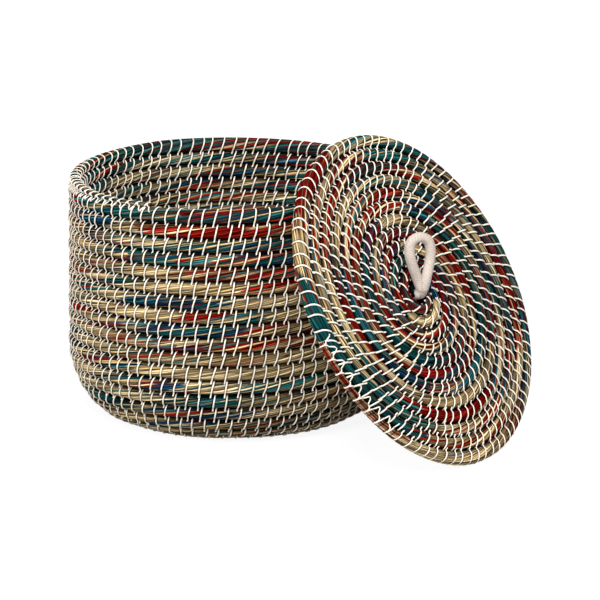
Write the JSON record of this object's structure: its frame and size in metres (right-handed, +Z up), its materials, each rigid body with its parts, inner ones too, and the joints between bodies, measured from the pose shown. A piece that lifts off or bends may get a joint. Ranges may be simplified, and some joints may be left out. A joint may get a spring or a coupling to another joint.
{
  "type": "coiled basket with lid",
  "caption": "Round coiled grass basket with straight sides, and a flat coiled lid with a rope loop handle that leans against its rim.",
  "frame": {"origin": "middle of the basket's underside, on the floor", "axes": "+Z up along the basket's axis, +X towards the leaning lid"},
  "size_m": [0.4313, 0.3059, 0.2661],
  "materials": {
    "base_grass": "dry natural grass, stitched",
    "wall_grass": "dry dyed and natural grass, stitched",
    "lid_grass": "dry dyed and natural grass, stitched",
    "rope": "off-white braided cotton rope"
  },
  "bodies": {
    "basket": {"base_coil": "base_grass", "wall_coil": "wall_grass"},
    "lid": {"lid_coil": "lid_grass", "handle_neck": "rope", "handle_knot": "rope"},
    "handle": {"handle_loop": "rope"}
  },
  "joints": [
    {"name": "lid_lift", "type": "slide", "parent": "basket", "child": "lid", "axis": [0, 0, 1], "range_m": [0, 0.25]},
    {"name": "handle_flop", "type": "hinge", "parent": "lid", "child": "handle", "pos_m": [0.20883, -0.0059, 0.14319], "axis": [0, 1, 0], "range_deg": [-10, 140]}
  ]
}
